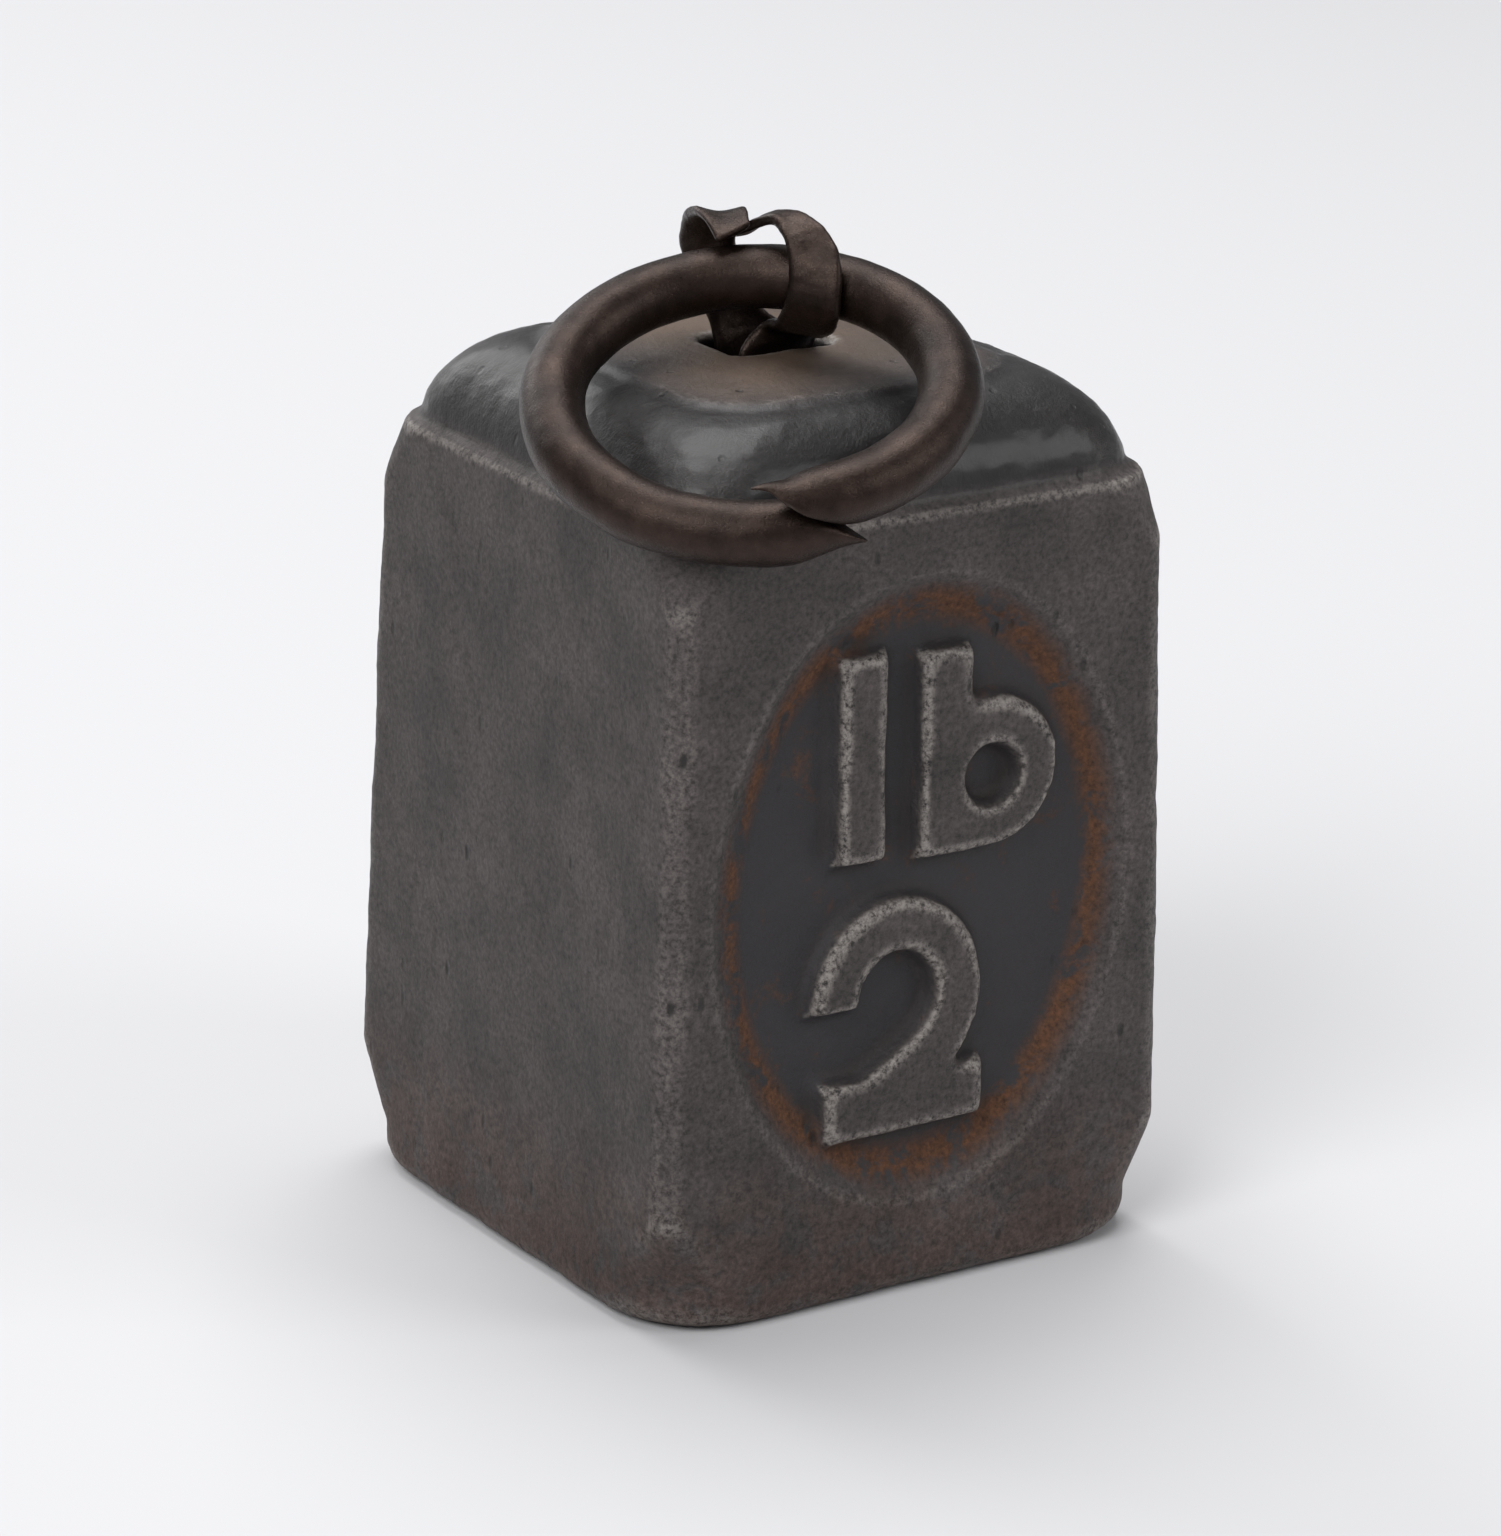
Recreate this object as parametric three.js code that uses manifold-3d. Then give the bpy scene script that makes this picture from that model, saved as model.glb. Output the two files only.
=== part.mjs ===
// Scale weight: a cast iron block with a moulded top, a lifting ring and the strap that holds it.
// Millimetres, +Z up. The origin is the middle of the foot. The face with the raised marks looks along -Y.
import * as THREE from "three";
import { mergeVertices } from "three/addons/utils/BufferGeometryUtils.js";
import Module from "manifold-3d";

const wasm = await Module();
wasm.setup();

// Block
const footHalfWidth = 22.7;
const sideTaper = 0.0233; // inset of each side for each millimetre of height
const arrisHeight = 59.9; // top edge of the flat sides
const footBevel = 1.8;
const edgeRadius = 1.9; // radius of the upright edges
const footCornerRadius = 7.4; // the upright edges widen towards the foot
const footCornerStart = 9.2;
const footCornerEnd = 3.2;
const shoulderCornerRadius = 5.6; // and towards the shoulder
const shoulderCornerLength = 4.9;
const cornerSteps = 7;

// Moulding between the flat sides and the plateau
const ledgeWidth = 0.85;
const ledgeRise = 0.5;
const plateauHalfWidth = 14.2;
const ovoloHeight = 6.5;
const ovoloFullness = 1.8; // 2 is a plain quarter ellipse
const ovoloSteps = 9;
const plateauStep = 0.45;
const plateauStepWidth = 0.5;
const plateauCrown = 0.65;

// Oval recess on the front
const ovalCentreHeight = 31.4;
const ovalHalfWidth = 18.3;
const ovalHalfHeight = 24.1;
const ovalDepth = 1.7;
const ovalWall = 3.3; // width of the sloping wall
const ovalSteps = 56;

// Raised marks in the recess, flush with the face, with sloping sides
const markDraft = 0.6;
const barLeft = -7.1;
const barWidth = 3.7;
const barFoot = 34.5;
const barHeight = 15.2;
const stemLeft = 0;
const stemWidth = 4;
const stemFoot = 34;
const stemHeight = 15.2;
const bowlWidth = 11.7; // from the left of the stem
const bowlHeight = 10.9;
const bowlTopRadius = 5.4;
const counterRadius = 2.6;
const counterLeft = 3.5;
const counterFoot = 2.6; // above the foot of the stem
const digitCentreX = -1.9;
const digitBowlHeight = 23.3; // centre of the bowl of the 2
const digitOuterWidth = 7.2;
const digitOuterHeight = 7.5;
const digitStroke = 3.6;
const digitFootTop = 17.2;
const digitFootHeight = 4.1;
const digitFootWidth = 13.6;
const digitFootLeft = -8;
const digitNeck = 2.7; // from the right of the bowl to where its back meets the foot
const digitBackRise = 3;
const digitInnerLeft = 3; // from the left of the foot to where the inner curve meets it

// Slot in the plateau, and the strap that is leaded into it
const slotCentreX = -0.7;
const slotLength = 8.8;
const slotWidth = 6.4;
const slotDepth = 16;
const slotCornerRadius = 1.2;
const leadClearance = 0.3;
const leadDrop = 2.2; // the lead stops this far below the plateau
const strapThickness = 0.8;
const strapTipThickness = 0.5;
const strapLegSpacing = 3.4; // between the middles of the two legs in the slot
const strapWidth = 5.6; // in the slot
const strapBedDepth = 11.85;
const strapSteps = 4; // between two chosen stations

// Lifting ring
const wireRadius = 2.42;
const ringRadius = 14.24; // to the middle of the wire
const ringHeading = THREE.MathUtils.degToRad(-37.8); // the way it leans, from -Y towards +X
const eyeX = -2.46; // middle of the wire where it passes through the strap
const eyeY = -3.03;
const eyeHeight = 5.5; // above the plateau
const ringSpread = 2.46; // the two ends lie this far apart along the axis of the ring
const ringRestClearance = 0.3;
const scarfMiddle = THREE.MathUtils.degToRad(26); // angles run from the low side over the right to the left
const scarfSlope = 0.785;
const scarfGap = 0.3;
const scarfBlunt = 0.2;
const rightTip = THREE.MathUtils.degToRad(4.9);
const leftTip = THREE.MathUtils.degToRad(394.4);
const tipDraw = 5; // length over which an end is drawn out to its point
const tipBlunt = 0.06; // share of the wire that is left at the point
const ringSteps = 84;
const ringSides = 12;

// Adjusting cavity in the foot and its lead
const cavityRadius = 7.5;
const cavityDepth = 9;
const cavitySides = 28;

const plateauEdgeHeight = arrisHeight + ledgeRise + ovoloHeight + plateauStep;
const plateauHeight = plateauEdgeHeight + plateauCrown;
const faceTilt = Math.atan(sideTaper);
const overrun = 2; // how far a cutting solid runs past what it cuts

const ironCast = new THREE.MeshStandardMaterial({ name: "cast_iron", color: 0x4a4745, roughness: 0.6, metalness: 0.5 });
const ironWrought = new THREE.MeshStandardMaterial({ name: "wrought_iron", color: 0x4b3f38, roughness: 0.45, metalness: 0.7 });
const lead = new THREE.MeshStandardMaterial({ name: "lead", color: 0x6b6a68, roughness: 0.65, metalness: 0.5 });

function clamp01(value) {
  return Math.min(1, Math.max(0, value));
}

// A closed body through sections of equal point count, each running counterclockwise seen from ahead.
function loft(sections) {
  const count = sections[0].length;
  const positions = sections.flat().flatMap((p) => [p.x, p.y, p.z]);
  const faces = [];
  for (let row = 0; row + 1 < sections.length; row++) {
    for (let i = 0; i < count; i++) {
      const a = row * count + i;
      const b = row * count + ((i + 1) % count);
      faces.push(a, b, b + count, a, b + count, a + count);
    }
  }
  const last = (sections.length - 1) * count;
  for (let i = 1; i + 1 < count; i++) {
    faces.push(0, i + 1, i);
    faces.push(last, last + i, last + i + 1);
  }
  const geometry = new THREE.BufferGeometry();
  geometry.setAttribute("position", new THREE.Float32BufferAttribute(positions, 3));
  geometry.setIndex(faces);
  return geometry;
}

function toSolid(geometry) {
  const bare = geometry.clone();
  bare.deleteAttribute("normal");
  bare.deleteAttribute("uv");
  const merged = mergeVertices(bare, 1e-4);
  const vertProperties = Float32Array.from(merged.attributes.position.array);
  const triVerts = Uint32Array.from(merged.index.array);
  return new wasm.Manifold(new wasm.Mesh({ numProp: 3, vertProperties, triVerts }));
}

function toGeometry(solid) {
  const mesh = solid.getMesh();
  const geometry = new THREE.BufferGeometry();
  geometry.setAttribute("position", new THREE.Float32BufferAttribute(mesh.vertProperties, 3));
  geometry.setIndex(Array.from(mesh.triVerts));
  return geometry;
}

function part(name, geometry, material) {
  const shown = geometry.toNonIndexed();
  shown.computeVertexNormals();
  const mesh = new THREE.Mesh(shown, material);
  mesh.name = name;
  return mesh;
}

// Half the width of a flat side at a height.
function sideAt(z) {
  return footHalfWidth - sideTaper * z;
}

// Radius of the upright edges at a height on the flat sides.
function cornerAt(z) {
  const foot = clamp01((footCornerStart - z) / (footCornerStart - footCornerEnd));
  const shoulder = clamp01((z - arrisHeight + shoulderCornerLength) / shoulderCornerLength);
  return edgeRadius + foot * (footCornerRadius - edgeRadius) + shoulder * (shoulderCornerRadius - edgeRadius);
}

// Half width, height and corner radius of the block, from the foot to the middle of the plateau.
function blockRows() {
  const rows = [];
  for (let i = 0; i <= 3; i++) {
    const turn = (i / 3) * (Math.PI / 2);
    const z = footBevel * (1 - Math.cos(turn));
    rows.push({ half: sideAt(z) - footBevel * (1 - Math.sin(turn)), z, corner: cornerAt(z) });
  }
  const shoulderFoot = arrisHeight - shoulderCornerLength;
  for (const z of [footCornerEnd, footCornerStart, shoulderFoot, arrisHeight]) {
    rows.push({ half: sideAt(z), z, corner: cornerAt(z) });
  }
  const ovoloFoot = arrisHeight + ledgeRise;
  const ovoloWidth = sideAt(arrisHeight) - ledgeWidth - plateauHalfWidth;
  for (let i = 0; i <= ovoloSteps; i++) {
    const turn = (i / ovoloSteps) * (Math.PI / 2);
    const across = Math.pow(Math.max(0, Math.cos(turn)), 2 / ovoloFullness);
    const up = Math.pow(Math.sin(turn), 2 / ovoloFullness);
    const half = plateauHalfWidth + ovoloWidth * across;
    rows.push({ half, z: ovoloFoot + ovoloHeight * up, corner: shoulderCornerRadius });
  }
  const topHalf = plateauHalfWidth - plateauStepWidth;
  for (let i = 0; i < 5; i++) {
    const reach = 1 - i / 5;
    const corner = Math.min(shoulderCornerRadius, topHalf * reach * 0.9);
    rows.push({ half: topHalf * reach, z: plateauEdgeHeight + plateauCrown * (1 - reach * reach), corner });
  }
  return rows;
}

// A square with rounded corners.
function squareSection({ half, z, corner }) {
  const points = [];
  for (let quarter = 0; quarter < 4; quarter++) {
    const start = (quarter * Math.PI) / 2;
    const signX = quarter === 0 || quarter === 3 ? 1 : -1;
    const signY = quarter < 2 ? 1 : -1;
    for (let i = 0; i <= cornerSteps; i++) {
      const turn = start + (i / cornerSteps) * (Math.PI / 2);
      const x = signX * (half - corner) + corner * Math.cos(turn);
      const y = signY * (half - corner) + corner * Math.sin(turn);
      points.push(new THREE.Vector3(x, y, z));
    }
  }
  return points;
}

function ellipseSection(halfWidth, halfHeight, z) {
  const points = [];
  for (let i = 0; i < ovalSteps; i++) {
    const turn = (i / ovalSteps) * 2 * Math.PI;
    points.push(new THREE.Vector3(halfWidth * Math.cos(turn), halfHeight * Math.sin(turn), z));
  }
  return points;
}

// Puts a solid drawn on the XY plane, with z outwards, onto the tilted front face.
function onFront(geometry) {
  const placed = geometry.clone();
  placed.rotateX(Math.PI / 2 - faceTilt);
  placed.translate(0, -sideAt(0), 0);
  return placed;
}

// The recess is a shallow oval pan whose wall slopes outwards.
function ovalPan() {
  const slope = ovalWall / ovalDepth;
  const floorWidth = ovalHalfWidth - ovalWall;
  const floorHeight = ovalHalfHeight - ovalWall;
  const outWidth = ovalHalfWidth + slope * overrun;
  const outHeight = ovalHalfHeight + slope * overrun;
  const pan = loft([ellipseSection(floorWidth, floorHeight, -ovalDepth), ellipseSection(outWidth, outHeight, overrun)]);
  pan.translate(0, ovalCentreHeight, 0);
  return toSolid(onFront(pan));
}

// One raised mark: its outline at the face, widening to the floor of the recess.
function raisedMark(outline) {
  const geometry = new THREE.ExtrudeGeometry(outline, {
    depth: overrun,
    bevelEnabled: true,
    bevelThickness: ovalDepth + overrun,
    bevelSize: (markDraft * (ovalDepth + overrun)) / ovalDepth,
    bevelOffset: (-markDraft * overrun) / ovalDepth,
    bevelSegments: 1,
    curveSegments: 10,
  });
  geometry.translate(0, 0, -ovalDepth - overrun);
  return toSolid(onFront(geometry));
}

function barOutline() {
  const shape = new THREE.Shape();
  shape.moveTo(barLeft, barFoot);
  shape.lineTo(barLeft + barWidth, barFoot);
  shape.lineTo(barLeft + barWidth, barFoot + barHeight);
  shape.lineTo(barLeft, barFoot + barHeight);
  shape.closePath();
  return shape;
}

// A stem with a bowl on its right, round at the top and square at the lower left.
function stemAndBowlOutline() {
  const right = stemLeft + bowlWidth;
  const top = stemFoot + bowlHeight;
  const shape = new THREE.Shape();
  shape.moveTo(stemLeft, stemFoot);
  shape.lineTo(right - bowlTopRadius, stemFoot);
  shape.absarc(right - bowlTopRadius, stemFoot + bowlTopRadius, bowlTopRadius, -Math.PI / 2, 0, false);
  shape.absarc(right - bowlTopRadius, top - bowlTopRadius, bowlTopRadius, 0, Math.PI / 2, false);
  shape.lineTo(stemLeft + stemWidth, top);
  shape.lineTo(stemLeft + stemWidth, stemFoot + stemHeight);
  shape.lineTo(stemLeft, stemFoot + stemHeight);
  shape.closePath();
  const counter = new THREE.Path();
  const counterX = stemLeft + counterLeft + counterRadius;
  const counterZ = stemFoot + counterFoot + counterRadius;
  counter.absarc(counterX, counterZ, counterRadius, 0, 2 * Math.PI, true);
  shape.holes.push(counter);
  return shape;
}

// The digit 2: half a ring for its bowl, a curved back and a flat foot.
function digitOutline() {
  const right = digitCentreX + digitOuterWidth;
  const innerRight = right - digitStroke;
  const innerWidth = digitOuterWidth - digitStroke;
  const innerHeight = digitOuterHeight - digitStroke;
  const footRight = digitFootLeft + digitFootWidth;
  const shape = new THREE.Shape();
  shape.moveTo(digitFootLeft, digitFootTop - digitFootHeight);
  shape.lineTo(footRight, digitFootTop - digitFootHeight);
  shape.lineTo(footRight, digitFootTop);
  shape.lineTo(right - digitNeck, digitFootTop);
  shape.quadraticCurveTo(right, digitFootTop + digitBackRise, right, digitBowlHeight);
  shape.absellipse(digitCentreX, digitBowlHeight, digitOuterWidth, digitOuterHeight, 0, Math.PI, false);
  shape.lineTo(digitCentreX - innerWidth, digitBowlHeight);
  shape.absellipse(digitCentreX, digitBowlHeight, innerWidth, innerHeight, Math.PI, 0, true);
  shape.quadraticCurveTo(innerRight, digitFootTop + digitBackRise, digitFootLeft + digitInnerLeft, digitFootTop);
  shape.lineTo(digitFootLeft, digitFootTop);
  shape.closePath();
  return shape;
}

function roundedRectangle(length, width, radius) {
  const x = length / 2;
  const y = width / 2;
  const shape = new THREE.Shape();
  shape.moveTo(radius - x, -y);
  shape.lineTo(x - radius, -y);
  shape.absarc(x - radius, radius - y, radius, -Math.PI / 2, 0, false);
  shape.absarc(x - radius, y - radius, radius, 0, Math.PI / 2, false);
  shape.absarc(radius - x, y - radius, radius, Math.PI / 2, Math.PI, false);
  shape.absarc(radius - x, radius - y, radius, Math.PI, 1.5 * Math.PI, false);
  return shape;
}

// A straight plug with the plan of the slot, smaller all round by an inset, from one height to another.
function slotPlug(inset, bottom, top) {
  const outline = roundedRectangle(slotLength - 2 * inset, slotWidth - 2 * inset, slotCornerRadius - inset);
  const geometry = new THREE.ExtrudeGeometry(outline, { depth: top - bottom, bevelEnabled: false, curveSegments: 4 });
  geometry.translate(slotCentreX, 0, bottom);
  return toSolid(geometry);
}

function cavityPlug(inset, bottom, top) {
  const geometry = new THREE.CylinderGeometry(cavityRadius - inset, cavityRadius - inset, top - bottom, cavitySides);
  geometry.rotateX(Math.PI / 2);
  geometry.translate(0, 0, (top + bottom) / 2);
  return toSolid(geometry);
}

function weightBody() {
  const block = toSolid(loft(blockRows().map(squareSection)));
  const marks = [barOutline(), stemAndBowlOutline(), digitOutline()].map(raisedMark);
  const pan = marks.reduce((rest, mark) => rest.subtract(mark), ovalPan());
  const slot = slotPlug(0, plateauHeight - slotDepth, plateauHeight + overrun);
  const cavity = cavityPlug(0, -overrun, cavityDepth);
  return toGeometry(block.subtract(pan).subtract(slot).subtract(cavity));
}

// The ring's eye in the strap, and two level directions there: forward over the near corner, and along the wire.
const eye = new THREE.Vector3(eyeX, eyeY, plateauHeight + eyeHeight);
const forward = new THREE.Vector3(Math.sin(ringHeading), -Math.cos(ringHeading), 0);
const along = new THREE.Vector3(Math.cos(ringHeading), Math.sin(ringHeading), 0);

// The middle of the wire at an angle round the ring, from the low side over the right to the left.
function ringPoint(angle, lean) {
  const low = forward.clone().multiplyScalar(Math.cos(lean)).add(new THREE.Vector3(0, 0, -Math.sin(lean)));
  const axis = forward.clone().multiplyScalar(Math.sin(lean)).add(new THREE.Vector3(0, 0, Math.cos(lean)));
  const outward = low.clone().multiplyScalar(Math.cos(angle)).addScaledVector(along, Math.sin(angle));
  const rise = (-ringSpread / 2) * ((angle - Math.PI) / Math.PI);
  const point = eye.clone().addScaledVector(low, ringRadius).addScaledVector(outward, ringRadius);
  return { point: point.addScaledVector(axis, rise), outward, axis, rise };
}

// The ring leans until its wire meets the shoulder of the block at the near corner.
function findRestLean() {
  const nearShoulder = blockRows()
    .filter((row) => row.z > arrisHeight - 2 * shoulderCornerLength)
    .flatMap(squareSection)
    .filter((point) => point.dot(forward) > 0);
  const gapAt = (lean) => {
    let least = Infinity;
    for (let i = 0; i <= 24; i++) {
      const { point } = ringPoint(1.5 * Math.PI + (i / 24) * Math.PI * 0.6, lean);
      for (const surface of nearShoulder) {
        least = Math.min(least, point.distanceTo(surface));
      }
    }
    return least - wireRadius;
  };
  let raised = 0;
  let sunk = Math.PI / 3;
  for (let i = 0; i < 30; i++) {
    const middle = (raised + sunk) / 2;
    if (gapAt(middle) > ringRestClearance) {
      raised = middle;
    } else {
      sunk = middle;
    }
  }
  return raised;
}

const restLean = findRestLean();

// A point beside the wire at rest: so far along it, turned round it from the front over the top, and clear of it.
function besideWire(t, turnDegrees, gap) {
  const wire = ringPoint(Math.PI - Math.asin(t / ringRadius), restLean).point;
  const turn = THREE.MathUtils.degToRad(turnDegrees);
  const reach = wireRadius + strapThickness / 2 + gap;
  wire.addScaledVector(forward, reach * Math.cos(turn));
  wire.z += reach * Math.sin(turn);
  return wire;
}

// A point of the strap in the slot, by its share of the strap's width, its leg and its height on the plateau.
function inSlot(share, y, z) {
  return new THREE.Vector3(slotCentreX + (share * strapWidth) / 2, y, plateauHeight + z);
}

// Stations of the strap, from the pointed end that folds over the ring from behind to the one in front.
// Each has its left edge, its right edge, and how far its middle is dished outwards.
function strapStations() {
  const leg = strapLegSpacing / 2;
  const bend = strapBedDepth - leg;
  const stations = [
    [besideWire(-3.65, 66, 0.6), besideWire(-1.4, 84, 1.2), 0.1],
    [besideWire(-4.6, 92, 1.5), besideWire(-1.6, 97, 1.6), 0.4],
    [besideWire(-5.7, 118, 2.8), besideWire(-1.9, 113, 2.1), 0.5],
    [besideWire(-6.7, 143, 4.1), besideWire(-2.3, 135, 2.1), 0.3],
    [besideWire(-7.05, 164, 4.6), besideWire(-2.8, 160, 1.6), 0.1],
    [besideWire(-6.1, 191, 3.5), besideWire(-2, 196, 1.9), 0],
    [besideWire(-4.9, 218, 2.5), besideWire(-0.8, 216, 3.4), 0],
    [inSlot(-1.2, leg, 0), inSlot(1.05, leg, 0), 0],
    [inSlot(-1, leg, -3), inSlot(1, leg, -3), 0],
  ];
  for (let i = 0; i <= 4; i++) {
    const turn = (i / 4) * Math.PI;
    const y = leg * Math.cos(turn);
    const z = -bend - leg * Math.sin(turn);
    stations.push([inSlot(-1, y, z), inSlot(1, y, z), 0]);
  }
  stations.push(
    [inSlot(-1, -leg, -3), inSlot(1, -leg, -3), 0],
    [inSlot(-1.15, -leg, -0.3), inSlot(1.15, -leg, -0.5), 0],
    [besideWire(-0.5, -102, 1.2), besideWire(3.6, -120, 2.1), 0],
    [besideWire(0.7, -65, 0.6), besideWire(4.7, -82, 0.8), 0],
    [besideWire(1.45, -20, 0.5), besideWire(5.5, -27, 0.8), 0],
    [besideWire(1.86, 17, 0.6), besideWire(5.6, 30, 0.85), 0.1],
    [besideWire(1.5, 47, 1.2), besideWire(5.1, 62, 1.1), 0.2],
    [besideWire(0.9, 63, 1.5), besideWire(3.9, 78, 1.6), 0.2],
    [besideWire(0.3, 78, 1.7), besideWire(1.7, 98, 1.9), 0.1],
    [besideWire(-0.8, 92, 1.15), besideWire(-0.6, 112, 1.35), 0],
    [besideWire(-2.1, 103, 0.7), besideWire(-2, 124, 0.75), 0],
    [besideWire(-3.1, 118, 0.7), besideWire(-3, 128, 0.75), 0],
  );
  return stations;
}

// The strap as one body. A grown strap is thicker and wider all round, for the bed in the lead.
function strapGeometry(grow) {
  const stations = strapStations();
  const left = new THREE.CatmullRomCurve3(stations.map((s) => s[0]), false, "centripetal");
  const right = new THREE.CatmullRomCurve3(stations.map((s) => s[1]), false, "centripetal");
  const spans = stations.length - 1;
  const total = spans * strapSteps;
  const edges = [];
  for (let i = 0; i <= total; i++) {
    const station = Math.min(spans - 1, Math.floor(i / strapSteps));
    const dish = THREE.MathUtils.lerp(stations[station][2], stations[station + 1][2], i / strapSteps - station);
    edges.push({ a: left.getPoint(i / total), b: right.getPoint(i / total), dish });
  }
  const sections = edges.map(({ a, b, dish }, i) => {
    const before = edges[Math.max(0, i - 1)];
    const after = edges[Math.min(total, i + 1)];
    const path = after.a.clone().add(after.b).sub(before.a).sub(before.b).normalize();
    const across = b.clone().sub(a).normalize();
    const out = new THREE.Vector3().crossVectors(path, across).normalize();
    const towardsTip = clamp01(Math.min(i, total - i) / (3 * strapSteps));
    const half = THREE.MathUtils.lerp(strapTipThickness, strapThickness, towardsTip) / 2 + grow;
    const from = a.clone().addScaledVector(across, -grow);
    const to = b.clone().addScaledVector(across, grow);
    const line = [0, 0.25, 0.5, 0.75, 1].map((share) => {
      return from.clone().lerp(to, share).addScaledVector(out, 4 * dish * share * (1 - share));
    });
    const inner = line.map((p) => p.clone().addScaledVector(out, -half));
    const outer = line.map((p) => p.clone().addScaledVector(out, half));
    return [...inner, ...outer.reverse()];
  });
  return loft(sections);
}

function strapLead() {
  const bottom = plateauHeight - slotDepth + leadClearance;
  const fill = slotPlug(leadClearance, bottom, plateauHeight - leadDrop);
  return toGeometry(fill.subtract(toSolid(strapGeometry(leadClearance))));
}

function adjustingLead() {
  return toGeometry(cavityPlug(leadClearance, 0, cavityDepth - leadClearance));
}

// An open ring whose two ends are cut aslant, drawn to points and lapped over each other.
function liftingRing() {
  const sections = [];
  for (let i = 0; i <= ringSteps; i++) {
    const angle = rightTip + ((leftTip - rightTip) * i) / ringSteps;
    const { point, outward, axis, rise } = ringPoint(angle, restLean);
    const turned = angle < Math.PI ? angle : angle - 2 * Math.PI;
    const cut = -scarfSlope * ringRadius * (turned - scarfMiddle) - rise;
    const onRight = angle < Math.PI;
    const lowest = onRight ? THREE.MathUtils.clamp(cut + scarfGap / 2, -wireRadius, wireRadius - scarfBlunt) : -wireRadius;
    const highest = onRight ? wireRadius : THREE.MathUtils.clamp(cut - scarfGap / 2, scarfBlunt - wireRadius, wireRadius);
    const tipHeight = onRight ? lowest : highest;
    const tipWidth = Math.sqrt(wireRadius * wireRadius - tipHeight * tipHeight);
    const fromTip = ringRadius * Math.min(angle - rightTip, leftTip - angle);
    const drawn = 1 - (1 - tipBlunt) * (1 - clamp01(fromTip / tipDraw)) ** 2;
    const section = [];
    for (let side = 0; side < ringSides; side++) {
      const turn = (-side / ringSides) * 2 * Math.PI;
      const height = THREE.MathUtils.clamp(wireRadius * Math.sin(turn), lowest, highest);
      const chord = Math.sqrt(wireRadius * wireRadius - height * height);
      const width = THREE.MathUtils.clamp(wireRadius * Math.cos(turn), -chord, chord);
      const drawnWidth = tipWidth + (width - tipWidth) * drawn;
      const drawnHeight = tipHeight + (height - tipHeight) * drawn;
      section.push(point.clone().addScaledVector(outward, drawnWidth).addScaledVector(axis, drawnHeight));
    }
    sections.push(section);
  }
  return loft(sections);
}

const weight = new THREE.Group();
weight.add(part("weight_body", weightBody(), ironCast));
weight.add(part("ring_strap", strapGeometry(0), ironWrought));
weight.add(part("strap_lead", strapLead(), lead));
weight.add(part("lifting_ring", liftingRing(), ironWrought));
weight.add(part("adjusting_lead", adjustingLead(), lead));

export default weight;
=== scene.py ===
import bmesh
import bpy
from mathutils import Matrix, Vector, noise


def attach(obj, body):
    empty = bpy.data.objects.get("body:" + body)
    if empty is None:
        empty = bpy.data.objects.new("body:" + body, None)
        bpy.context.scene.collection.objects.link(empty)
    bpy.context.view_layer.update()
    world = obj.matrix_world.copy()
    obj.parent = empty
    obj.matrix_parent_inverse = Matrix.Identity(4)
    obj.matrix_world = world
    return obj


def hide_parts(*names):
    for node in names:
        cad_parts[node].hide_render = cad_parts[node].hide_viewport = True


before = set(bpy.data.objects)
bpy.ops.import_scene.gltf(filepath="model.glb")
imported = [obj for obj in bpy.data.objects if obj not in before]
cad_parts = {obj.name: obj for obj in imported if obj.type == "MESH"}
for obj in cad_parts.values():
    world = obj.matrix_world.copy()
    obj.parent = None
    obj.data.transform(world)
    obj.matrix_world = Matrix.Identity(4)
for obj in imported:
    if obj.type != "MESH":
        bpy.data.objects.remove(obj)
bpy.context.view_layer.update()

mm = 0.001
mergeDistance = 0.002 * mm        # corners of neighbouring CAD triangles lie closer than this
smoothingStep = 0.5        # how far one round of smoothing moves a point towards its neighbours


def linear(hexColour):
    # sRGB hex to the linear colour that the shaders take
    channels = [int(hexColour[i:i + 2], 16) / 255 for i in (1, 3, 5)]
    return tuple(c / 12.92 if c <= 0.04045 else ((c + 0.055) / 1.055) ** 2.4 for c in channels) + (1.0,)


def addNode(tree, kind, settings=None, inputs=None, stops=()):
    # an input is a value or another node's output to link; stops are a colour ramp's
    node = tree.nodes.new(kind)
    for name, value in (settings or {}).items():
        setattr(node, name, value)
    for name, value in (inputs or {}).items():
        if isinstance(value, bpy.types.NodeSocket):
            tree.links.new(value, node.inputs[name])
        else:
            node.inputs[name].default_value = value
    for i, (position, hexColour) in enumerate(stops):
        node.color_ramp.elements[i].position = position
        node.color_ramp.elements[i].color = linear(hexColour)
    return node


def newMaterial(name):
    material = bpy.data.materials.new(name)
    material.use_nodes = True
    material.node_tree.nodes.clear()
    return material, material.node_tree


def mergedCopy(nodeName, pieceName):
    # a copy of a CAD node with its loose triangles merged
    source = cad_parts[nodeName]
    piece = bpy.data.objects.new(pieceName, source.data.copy())
    bpy.context.scene.collection.objects.link(piece)
    piece.data.materials.clear()
    shape = bmesh.new()
    shape.from_mesh(piece.data)
    bmesh.ops.remove_doubles(shape, verts=shape.verts, dist=mergeDistance)
    shape.to_mesh(piece.data)
    shape.free()
    return piece


def applyModifiers(piece):
    depsgraph = bpy.context.evaluated_depsgraph_get()
    made = bpy.data.meshes.new_from_object(piece.evaluated_get(depsgraph))
    piece.modifiers.clear()
    piece.data = made


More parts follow.
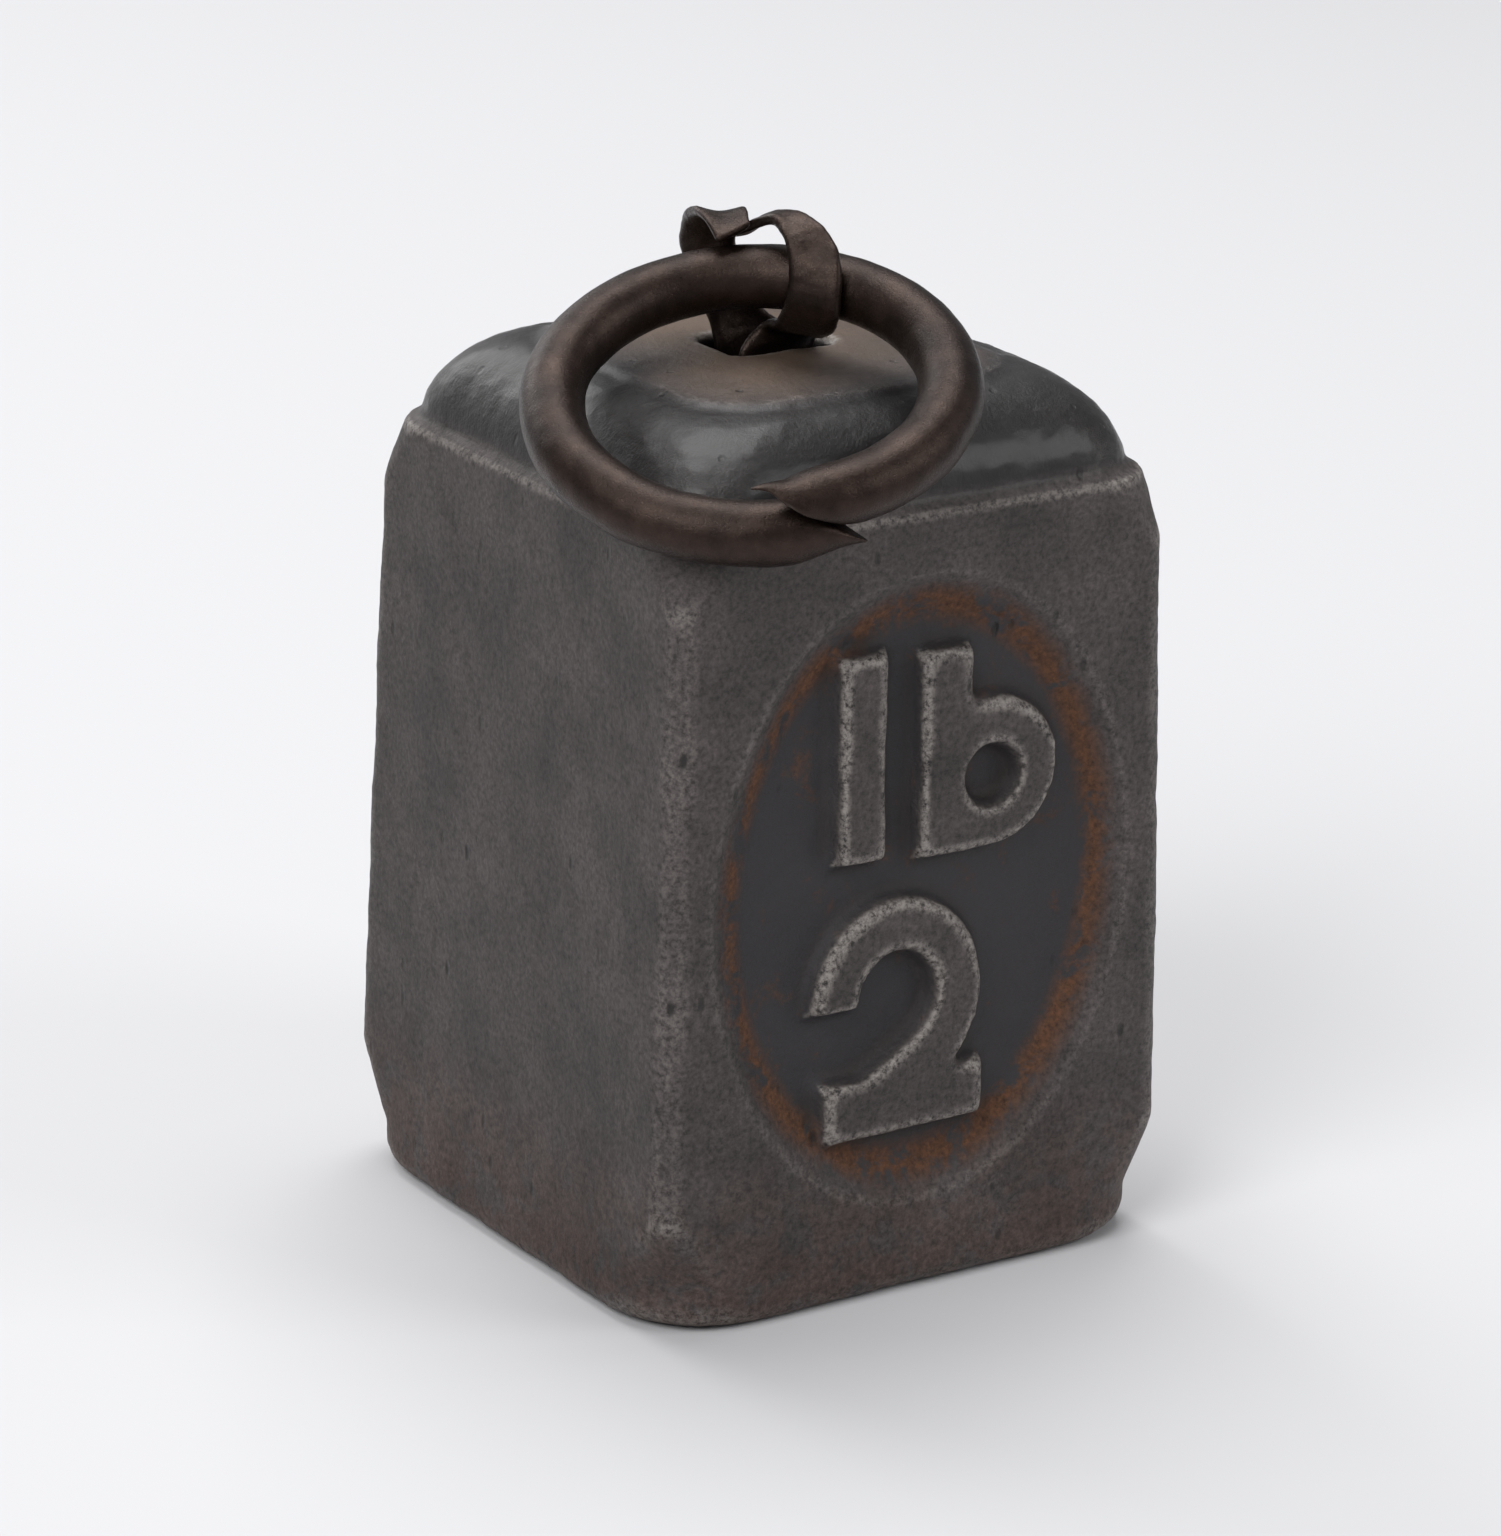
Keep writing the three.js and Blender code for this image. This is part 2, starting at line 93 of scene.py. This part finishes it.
def smoothShape(shape, rounds):
    for _ in range(rounds):
        bmesh.ops.smooth_vert(shape, verts=shape.verts, factor=smoothingStep,
                              use_axis_x=True, use_axis_y=True, use_axis_z=True)


def relax(piece, rounds):
    shape = bmesh.new()
    shape.from_mesh(piece.data)
    smoothShape(shape, rounds)
    shape.to_mesh(piece.data)
    shape.free()


def swellPiece(piece, swell):
    # moves the whole skin out by one height in millimetres
    normals = [vertex.normal.copy() for vertex in piece.data.vertices]
    for vertex, normal in zip(piece.data.vertices, normals):
        vertex.co += normal * swell * mm


def roughen(piece, lumps):
    # moves the skin in and out by layers of noise, each with its grain and its height in millimetres
    piece.data.update()
    normals = [vertex.normal.copy() for vertex in piece.data.vertices]
    for vertex, normal in zip(piece.data.vertices, normals):
        place = vertex.co / mm
        height = sum(lump["height"] * noise.noise(place / lump["grain"] + Vector((lump["seed"], 0, 0)))
                     for lump in lumps)
        vertex.co += normal * height * mm


def markWear(piece, reach):
    # how far each point stands proud of a smoothed copy: ridges are rubbed, hollows are made darker
    smoothed = bmesh.new()
    smoothed.from_mesh(piece.data)
    smoothShape(smoothed, reach)
    smoothed.verts.ensure_lookup_table()
    wear = piece.data.attributes.new("wear", "FLOAT", "POINT")
    for i, vertex in enumerate(piece.data.vertices):
        wear.data[i].value = (vertex.co - smoothed.verts[i].co).dot(vertex.normal) / mm
    smoothed.free()


def shadeSmooth(piece):
    for face in piece.data.polygons:
        face.use_smooth = True


print("camera and studio")

cameraPlace = {
    "eye": (-237.52 * mm, -359.44 * mm, 181.06 * mm),
    "right": (0.8395, -0.5429, 0.0235),
    "up": (0.1565, 0.2830, 0.9463),
    "back": (-0.5204, -0.7907, 0.3225),
    "lens": 141.03,
    "sensorWidth": 36,
    "clipStart": 0.01,
}
cameraData = bpy.data.cameras.new("camera")
cameraData.lens = cameraPlace["lens"]
cameraData.sensor_width = cameraPlace["sensorWidth"]
cameraData.clip_start = cameraPlace["clipStart"]
camera = bpy.data.objects.new("camera", cameraData)
turn = Matrix((cameraPlace["right"], cameraPlace["up"], cameraPlace["back"])).transposed().to_4x4()
camera.matrix_world = Matrix.Translation(cameraPlace["eye"]) @ turn
bpy.context.scene.collection.objects.link(camera)
bpy.context.scene.camera = camera
bpy.context.scene.view_settings.view_transform = "Standard"

lamps = {
    "softboxLeft": {"place": (-0.75, -0.35, 0.75), "size": 0.6, "watts": 7.2},
    "softboxRight": {"place": (0.65, -0.75, 0.6), "size": 0.5, "watts": 3.4},
    "softboxTop": {"place": (0.1, 0.25, 1.0), "size": 0.7, "watts": 8.0},
    "softboxBehind": {"place": (-0.1, 0.9, 0.5), "size": 0.6, "watts": 3.0},
}
studio = {
    "lampAim": (0, 0, 0.035),          # half way up the block
    "roomColour": "#d9dade",
    "roomStrength": 0.3,
    "floorColour": "#cfcfd1",
    "floorRoughness": 0.9,
    "floorSpecular": 0.2,
    "floorHalfWidth": 6.0,
}
for lampName, lamp in lamps.items():
    lampData = bpy.data.lights.new(lampName, "AREA")
    lampData.size = lamp["size"]
    lampData.energy = lamp["watts"]
    lampObject = bpy.data.objects.new(lampName, lampData)
    lampObject.location = lamp["place"]
    towardsAim = Vector(studio["lampAim"]) - Vector(lamp["place"])
    lampObject.rotation_euler = towardsAim.to_track_quat("-Z", "Y").to_euler()
    bpy.context.scene.collection.objects.link(lampObject)

world = bpy.data.worlds.new("studio")
bpy.context.scene.world = world
world.use_nodes = True
worldTree = world.node_tree
worldTree.nodes.clear()
room = addNode(worldTree, "ShaderNodeBackground", None,
               {"Color": linear(studio["roomColour"]), "Strength": studio["roomStrength"]})
addNode(worldTree, "ShaderNodeOutputWorld", None, {"Surface": room.outputs[0]})

# the floor is wide enough to fill the picture, so it is the background too
floorShape = bmesh.new()
bmesh.ops.create_grid(floorShape, x_segments=1, y_segments=1, size=studio["floorHalfWidth"])
floorMesh = bpy.data.meshes.new("floor")
floorShape.to_mesh(floorMesh)
floorShape.free()
floor = bpy.data.objects.new("floor", floorMesh)
bpy.context.scene.collection.objects.link(floor)
floorMaterial, floorTree = newMaterial("studio_paper")
floorShader = addNode(floorTree, "ShaderNodeBsdfPrincipled", None,
                      {"Base Color": linear(studio["floorColour"]), "Roughness": studio["floorRoughness"],
                       "Specular IOR Level": studio["floorSpecular"]})
addNode(floorTree, "ShaderNodeOutputMaterial", None, {"Surface": floorShader.outputs[0]})
floor.data.materials.append(floorMaterial)

print("cast iron body")

# lengths in millimetres; rounding and wearReach are rounds of smoothing
castBody = {
    "voxel": 0.41,
    "rounding": 2,
    "wearReach": 8,
    "lumps": [
        {"grain": 9.0, "height": 0.16, "seed": 3.0},
        {"grain": 2.6, "height": 0.07, "seed": 11.0},
        {"grain": 0.9, "height": 0.05, "seed": 27.0},
    ],
}
body = mergedCopy("weight_body", "cast_body")
remesh = body.modifiers.new("Remesh", "REMESH")
remesh.mode = "VOXEL"
remesh.voxel_size = castBody["voxel"] * mm
applyModifiers(body)
relax(body, castBody["rounding"])
markWear(body, castBody["wearReach"])
roughen(body, castBody["lumps"])
shadeSmooth(body)
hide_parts("weight_body")
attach(body, "weight")

print("lifting ring and strap")

# swell makes up for what subdivision draws in
forgedRing = {
    "subdivisions": 2,
    "swell": 0.05,
    "wearReach": 6,
    "lumps": [
        {"grain": 4.0, "height": 0.09, "seed": 5.0},
        {"grain": 1.2, "height": 0.03, "seed": 8.0},
    ],
}
forgedStrap = {
    "subdivisions": 2,
    "swell": 0.06,
    "wearReach": 6,
    "lumps": [
        {"grain": 2.0, "height": 0.1, "seed": 15.0},
        {"grain": 0.6, "height": 0.05, "seed": 18.0},
    ],
}


def forgedPiece(nodeName, pieceName, sizes):
    piece = mergedCopy(nodeName, pieceName)
    shape = bmesh.new()
    shape.from_mesh(piece.data)
    anyAngle = 3.1        # pairs of triangles become four-sided faces, however they bend
    bmesh.ops.join_triangles(shape, faces=shape.faces, angle_face_threshold=anyAngle,
                             angle_shape_threshold=anyAngle)
    shape.to_mesh(piece.data)
    shape.free()
    rounded = piece.modifiers.new("Subdivision", "SUBSURF")
    rounded.levels = sizes["subdivisions"]
    rounded.render_levels = sizes["subdivisions"]
    applyModifiers(piece)
    piece.data.update()
    swellPiece(piece, sizes["swell"])
    markWear(piece, sizes["wearReach"])
    roughen(piece, sizes["lumps"])
    shadeSmooth(piece)
    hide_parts(nodeName)
    return piece


ring = forgedPiece("lifting_ring", "forged_ring", forgedRing)
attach(ring, "ring")
strap = forgedPiece("ring_strap", "forged_strap", forgedStrap)
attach(strap, "weight")

print("materials")

# patterns are laid out in millimetres, and object coordinates are in metres
perMillimetre = {"Scale": (1 / mm, 1 / mm, 1 / mm)}

# settings that several nodes share
smooth = {"interpolation_type": "SMOOTHSTEP"}
colours = {"data_type": "RGBA"}
colourMultiply = {"data_type": "RGBA", "blend_type": "MULTIPLY"}
plus = {"operation": "ADD"}
minus = {"operation": "SUBTRACT"}
times = {"operation": "MULTIPLY"}
dividedBy = {"operation": "DIVIDE"}
timesPlus = {"operation": "MULTIPLY_ADD"}
larger = {"operation": "MAXIMUM"}

# the block's own sizes, in millimetres, as the patterns on it need them
block = {
    "footHalfWidth": 22.7,
    "sideTaper": 0.0233,
    "ovalCentre": 31.4,
    "ovalHalfWidth": 18.3,
    "ovalHalfHeight": 24.1,
}
# pattern widths and heights up the block are in millimetres, and so is wear
castIronLook = {
    "clouds": {"Scale": 1 / 7.69, "Detail": 6.0, "Roughness": 0.6},
    "grain": {"Scale": 1 / 0.4545, "Detail": 5.0, "Roughness": 0.75},
    "skin": [(0.32, "#474140"), (0.68, "#625a58")],
    "speckle": [(0.35, "#868686"), (0.66, "#ffffff")],
    "speckleShare": 0.9,
    "recessStarts": {"From Min": 0.35, "From Max": 1.1},
    "recessEnds": {"From Min": 3.2, "From Max": 3.0},
    "ovalEdge": {"From Min": 1.04, "From Max": 0.99},
    "recessFloor": "#343234",
    "wallBand": {"From Min": 0.8, "From Max": 0.88},
    "rustCloud": {"Scale": 1 / 3.57, "Detail": 9.0, "Roughness": 0.72, "Distortion": 0.4},
    "rustPatches": {"From Min": 0.41, "From Max": 0.52},
    "floorFlakes": {"From Min": 0.56, "From Max": 0.7, "To Max": 0.6},
    "lowRust": {"From Min": 15.0, "From Max": 0.0, "To Max": 0.32},
    "rust": [(0.3, "#3b2b20"), (0.7, "#775039")],
    "plateauBloom": {"From Min": 67.3, "From Max": 67.9, "To Max": 0.75},
    "bloom": "#6e5c4d",
    "mouldingFoot": {"From Min": 60.2, "From Max": 61.4, "To Max": 0.92},
    "mouldingTop": {"From Min": 67.5, "From Max": 67.0},
    "moulding": "#141211",
    "rubbedRidges": {"From Min": 0.02, "From Max": 0.13, "To Max": 0.85},
    "rubBroken": {"From Min": 0.38, "From Max": 0.6},
    "rubbed": "#9d9791",
    # points lying below the smoothed skin, in hollows, are made darker in the next colour
    "darkerHollows": {"From Min": -0.03, "From Max": -0.16, "To Max": 0.7},
    "hollowTone": "#2b2520",
    "pitStretch": (1.0, 1.0, 0.45),
    "pits": {"Scale": 1 / 2.38, "Randomness": 1.0},
    "pitEdge": {"From Min": 0.16, "From Max": 0.04},
    "pitPatches": {"From Min": 0.45, "From Max": 0.6},
    "pit": "#2a2826",
    "roughness": {"From Min": 60.0, "From Max": 61.5, "To Min": 0.56, "To Max": 0.3},
    "rustDulls": 0.3,
    "bloomDulls": 0.3,
    "rubPolishes": -0.12,
    "grainBump": {"Strength": 0.6, "Distance": 0.2 * mm},
    "pitBump": {"Strength": 0.8, "Distance": 0.3 * mm},
    "metallic": 0.35,
    "blackingShare": 0.32,
    "blackingRoughness": 0.24,
}


def castIron(look):
    # blackened sand casting: a matt graphite skin with a fine grain, pits, brown rust and rubbed edges
    material, tree = newMaterial("blackened_cast_iron")
    coordinates = addNode(tree, "ShaderNodeTexCoord")
    place = addNode(tree, "ShaderNodeMapping", None,
                    {"Vector": coordinates.outputs["Object"], **perMillimetre})
    axes = addNode(tree, "ShaderNodeSeparateXYZ", None, {0: place.outputs[0]})
    height = axes.outputs["Z"]

    clouds = addNode(tree, "ShaderNodeTexNoise", None, {"Vector": place.outputs[0], **look["clouds"]})
    grain = addNode(tree, "ShaderNodeTexNoise", None, {"Vector": place.outputs[0], **look["grain"]})
    skin = addNode(tree, "ShaderNodeValToRGB", None, {"Fac": clouds.outputs["Fac"]}, look["skin"])
    speckle = addNode(tree, "ShaderNodeValToRGB", None, {"Fac": grain.outputs["Fac"]}, look["speckle"])
    speckled = addNode(tree, "ShaderNodeMix", colourMultiply,
                       {0: look["speckleShare"], 6: skin.outputs["Color"], 7: speckle.outputs["Color"]})

    # the oval recess: how far out a point lies, 1 at the oval's edge, and how deep behind the front face
    across = addNode(tree, "ShaderNodeMath", dividedBy, {0: axes.outputs["X"], 1: block["ovalHalfWidth"]})
    upFromCentre = addNode(tree, "ShaderNodeMath", minus, {0: height, 1: block["ovalCentre"]})
    upwards = addNode(tree, "ShaderNodeMath", dividedBy,
                      {0: upFromCentre.outputs[0], 1: block["ovalHalfHeight"]})
    pair = addNode(tree, "ShaderNodeCombineXYZ", None, {"X": across.outputs[0], "Y": upwards.outputs[0]})
    outFromCentre = addNode(tree, "ShaderNodeVectorMath", {"operation": "LENGTH"}, {0: pair.outputs[0]})
    outward = outFromCentre.outputs["Value"]
    taperAt = addNode(tree, "ShaderNodeMath", times, {0: height, 1: block["sideTaper"]})
    faceAt = addNode(tree, "ShaderNodeMath", minus, {0: block["footHalfWidth"], 1: taperAt.outputs[0]})
    depth = addNode(tree, "ShaderNodeMath", plus, {0: axes.outputs["Y"], 1: faceAt.outputs[0]})
    sunk = addNode(tree, "ShaderNodeMapRange", None, {"Value": depth.outputs[0], **look["recessStarts"]})
    notInside = addNode(tree, "ShaderNodeMapRange", None, {"Value": depth.outputs[0], **look["recessEnds"]})
    inOval = addNode(tree, "ShaderNodeMapRange", None, {"Value": outward, **look["ovalEdge"]})
    recessed = addNode(tree, "ShaderNodeMath", times, {0: sunk.outputs[0], 1: notInside.outputs[0]})
    recess = addNode(tree, "ShaderNodeMath", times, {0: recessed.outputs[0], 1: inOval.outputs[0]})
    floorMix = addNode(tree, "ShaderNodeMix", colours,
                       {0: recess.outputs[0], 6: speckled.outputs[2], 7: linear(look["recessFloor"])})

    # rust holds to the wall of the recess, in flakes round the marks and a little low down on the sides
    wallBand = addNode(tree, "ShaderNodeMapRange", smooth, {"Value": outward, **look["wallBand"]})
    rustCloud = addNode(tree, "ShaderNodeTexNoise", None, {"Vector": place.outputs[0], **look["rustCloud"]})
    rustFac = rustCloud.outputs["Fac"]
    rustPatch = addNode(tree, "ShaderNodeMapRange", smooth, {"Value": rustFac, **look["rustPatches"]})
    wallRust = addNode(tree, "ShaderNodeMath", times, {0: wallBand.outputs[0], 1: rustPatch.outputs[0]})
    wallShare = addNode(tree, "ShaderNodeMath", times, {0: wallRust.outputs[0], 1: recess.outputs[0]})
    flakes = addNode(tree, "ShaderNodeMapRange", smooth, {"Value": rustFac, **look["floorFlakes"]})
    flakeShare = addNode(tree, "ShaderNodeMath", times, {0: flakes.outputs[0], 1: recess.outputs[0]})
    lowDown = addNode(tree, "ShaderNodeMapRange", None, {"Value": height, **look["lowRust"]})
    lowShare = addNode(tree, "ShaderNodeMath", times, {0: lowDown.outputs[0], 1: rustPatch.outputs[0]})
    inRecess = addNode(tree, "ShaderNodeMath", larger, {0: wallShare.outputs[0], 1: flakeShare.outputs[0]})
    rust = addNode(tree, "ShaderNodeMath", larger, {0: inRecess.outputs[0], 1: lowShare.outputs[0]})
    rustTone = addNode(tree, "ShaderNodeValToRGB", None, {"Fac": grain.outputs["Fac"]}, look["rust"])
    rusted = addNode(tree, "ShaderNodeMix", colours,
                     {0: rust.outputs[0], 6: floorMix.outputs[2], 7: rustTone.outputs["Color"]})

    # a sandy bloom on the plateau, and a moulding that kept more of its black
    onPlateau = addNode(tree, "ShaderNodeMapRange", None, {"Value": height, **look["plateauBloom"]})
    sandy = addNode(tree, "ShaderNodeMix", colours,
                    {0: onPlateau.outputs[0], 6: rusted.outputs[2], 7: linear(look["bloom"])})
    onMoulding = addNode(tree, "ShaderNodeMapRange", None, {"Value": height, **look["mouldingFoot"]})
    belowPlateau = addNode(tree, "ShaderNodeMapRange", None, {"Value": height, **look["mouldingTop"]})
    mouldingShare = addNode(tree, "ShaderNodeMath", times,
                            {0: onMoulding.outputs[0], 1: belowPlateau.outputs[0]})
    blackened = addNode(tree, "ShaderNodeMix", colours,
                        {0: mouldingShare.outputs[0], 6: sandy.outputs[2], 7: linear(look["moulding"])})

    # rubbed ridges shine through, hollows are made darker
    wear = addNode(tree, "ShaderNodeAttribute", {"attribute_name": "wear"})
    ridges = addNode(tree, "ShaderNodeMapRange", smooth,
                     {"Value": wear.outputs["Fac"], **look["rubbedRidges"]})
    broken = addNode(tree, "ShaderNodeMapRange", None, {"Value": grain.outputs["Fac"], **look["rubBroken"]})
    rub = addNode(tree, "ShaderNodeMath", times, {0: ridges.outputs[0], 1: broken.outputs[0]})
    hollows = addNode(tree, "ShaderNodeMapRange", smooth,
                      {"Value": wear.outputs["Fac"], **look["darkerHollows"]})
    bright = addNode(tree, "ShaderNodeMix", colours,
                     {0: rub.outputs[0], 6: blackened.outputs[2], 7: linear(look["rubbed"])})
    hollowsDarkened = addNode(tree, "ShaderNodeMix", colours,
                    {0: hollows.outputs[0], 6: bright.outputs[2], 7: linear(look["hollowTone"])})

    # casting pits, drawn out along the height
    pitPlace = addNode(tree, "ShaderNodeMapping", None,
                       {"Vector": place.outputs[0], "Scale": look["pitStretch"]})
    pits = addNode(tree, "ShaderNodeTexVoronoi", None, {"Vector": pitPlace.outputs[0], **look["pits"]})
    pit = addNode(tree, "ShaderNodeMapRange", smooth,
                  {"Value": pits.outputs["Distance"], **look["pitEdge"]})
    pitPatch = addNode(tree, "ShaderNodeMapRange", None,
                       {"Value": clouds.outputs["Fac"], **look["pitPatches"]})
    pitShare = addNode(tree, "ShaderNodeMath", times, {0: pit.outputs[0], 1: pitPatch.outputs[0]})
    pitted = addNode(tree, "ShaderNodeMix", colours,
                     {0: pitShare.outputs[0], 6: hollowsDarkened.outputs[2], 7: linear(look["pit"])})

    # the moulding is the smoothest part, rust and bloom the roughest
    byHeight = addNode(tree, "ShaderNodeMapRange", None, {"Value": height, **look["roughness"]})
    dulled = addNode(tree, "ShaderNodeMath", timesPlus,
                     {0: rust.outputs[0], 1: look["rustDulls"], 2: byHeight.outputs[0]})
    matt = addNode(tree, "ShaderNodeMath", timesPlus,
                   {0: onPlateau.outputs[0], 1: look["bloomDulls"], 2: dulled.outputs[0]})
    polish = addNode(tree, "ShaderNodeMath", timesPlus,
                     {0: rub.outputs[0], 1: look["rubPolishes"], 2: matt.outputs[0]})
    grainBump = addNode(tree, "ShaderNodeBump", None, {"Height": grain.outputs["Fac"], **look["grainBump"]})
    pitHeight = addNode(tree, "ShaderNodeMath", minus, {0: 1.0, 1: pitShare.outputs[0]})
    pitBump = addNode(tree, "ShaderNodeBump", None,
                      {"Height": pitHeight.outputs[0], "Normal": grainBump.outputs["Normal"],
                       **look["pitBump"]})
    blacking = addNode(tree, "ShaderNodeMath", times,
                       {0: mouldingShare.outputs[0], 1: look["blackingShare"]})
    shader = addNode(tree, "ShaderNodeBsdfPrincipled", None,
                     {"Base Color": pitted.outputs[2], "Metallic": look["metallic"],
                      "Roughness": polish.outputs[0], "Normal": pitBump.outputs["Normal"],
                      "Coat Weight": blacking.outputs[0], "Coat Roughness": look["blackingRoughness"]})
    addNode(tree, "ShaderNodeOutputMaterial", None, {"Surface": shader.outputs[0]})
    return material


# pattern widths and wear in millimetres
wroughtIronLook = {
    "clouds": {"Scale": 1 / 2.857, "Detail": 6.0, "Roughness": 0.65},
    "grain": {"Scale": 1 / 0.25, "Detail": 4.0, "Roughness": 0.8},
    "tone": [(0.35, "#241a15"), (0.68, "#3b2e28")],
    "rubbedRidges": {"From Min": 0.05, "From Max": 0.25, "To Max": 0.7},
    "rubbed": "#8f867f",
    "gloss": {"From Min": 0.3, "From Max": 0.7, "To Min": 0.22, "To Max": 0.4},
    "bump": {"Strength": 0.4, "Distance": 0.12 * mm},
    "metallic": 0.75,
}


def wroughtIron(look):
    # forged bar, browned by age and rubbed by hands: satin with a fine grain and paler ridges
    material, tree = newMaterial("browned_wrought_iron")
    coordinates = addNode(tree, "ShaderNodeTexCoord")
    place = addNode(tree, "ShaderNodeMapping", None,
                    {"Vector": coordinates.outputs["Object"], **perMillimetre})
    clouds = addNode(tree, "ShaderNodeTexNoise", None, {"Vector": place.outputs[0], **look["clouds"]})
    grain = addNode(tree, "ShaderNodeTexNoise", None, {"Vector": place.outputs[0], **look["grain"]})
    tone = addNode(tree, "ShaderNodeValToRGB", None, {"Fac": clouds.outputs["Fac"]}, look["tone"])
    wear = addNode(tree, "ShaderNodeAttribute", {"attribute_name": "wear"})
    ridges = addNode(tree, "ShaderNodeMapRange", smooth,
                     {"Value": wear.outputs["Fac"], **look["rubbedRidges"]})
    bright = addNode(tree, "ShaderNodeMix", colours,
                     {0: ridges.outputs[0], 6: tone.outputs["Color"], 7: linear(look["rubbed"])})
    gloss = addNode(tree, "ShaderNodeMapRange", None, {"Value": grain.outputs["Fac"], **look["gloss"]})
    bump = addNode(tree, "ShaderNodeBump", None, {"Height": grain.outputs["Fac"], **look["bump"]})
    shader = addNode(tree, "ShaderNodeBsdfPrincipled", None,
                     {"Base Color": bright.outputs[2], "Metallic": look["metallic"],
                      "Roughness": gloss.outputs[0], "Normal": bump.outputs["Normal"]})
    addNode(tree, "ShaderNodeOutputMaterial", None, {"Surface": shader.outputs[0]})
    return material


leadLook = {
    "clouds": {"Scale": 1 / 2.0, "Detail": 5.0, "Roughness": 0.6},       # uneven patches 2 mm wide
    "tone": [(0.3, "#4c4b4a"), (0.7, "#77777a")],
    "bump": {"Strength": 0.5, "Distance": 0.4 * mm},
    "metallic": 0.7,
    "roughness": 0.55,
}


def pouredLead(look):
    # poured and hammered lead: dull grey with a soft uneven skin
    material, tree = newMaterial("poured_lead")
    coordinates = addNode(tree, "ShaderNodeTexCoord")
    place = addNode(tree, "ShaderNodeMapping", None,
                    {"Vector": coordinates.outputs["Object"], **perMillimetre})
    clouds = addNode(tree, "ShaderNodeTexNoise", None, {"Vector": place.outputs[0], **look["clouds"]})
    tone = addNode(tree, "ShaderNodeValToRGB", None, {"Fac": clouds.outputs["Fac"]}, look["tone"])
    bump = addNode(tree, "ShaderNodeBump", None, {"Height": clouds.outputs["Fac"], **look["bump"]})
    shader = addNode(tree, "ShaderNodeBsdfPrincipled", None,
                     {"Base Color": tone.outputs["Color"], "Metallic": look["metallic"],
                      "Roughness": look["roughness"], "Normal": bump.outputs["Normal"]})
    addNode(tree, "ShaderNodeOutputMaterial", None, {"Surface": shader.outputs[0]})
    return material


body.data.materials.append(castIron(castIronLook))
forged = wroughtIron(wroughtIronLook)
ring.data.materials.append(forged)
strap.data.materials.append(forged)
leadMaterial = pouredLead(leadLook)
for leadNode in ("strap_lead", "adjusting_lead"):
    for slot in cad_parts[leadNode].material_slots:
        slot.material = leadMaterial
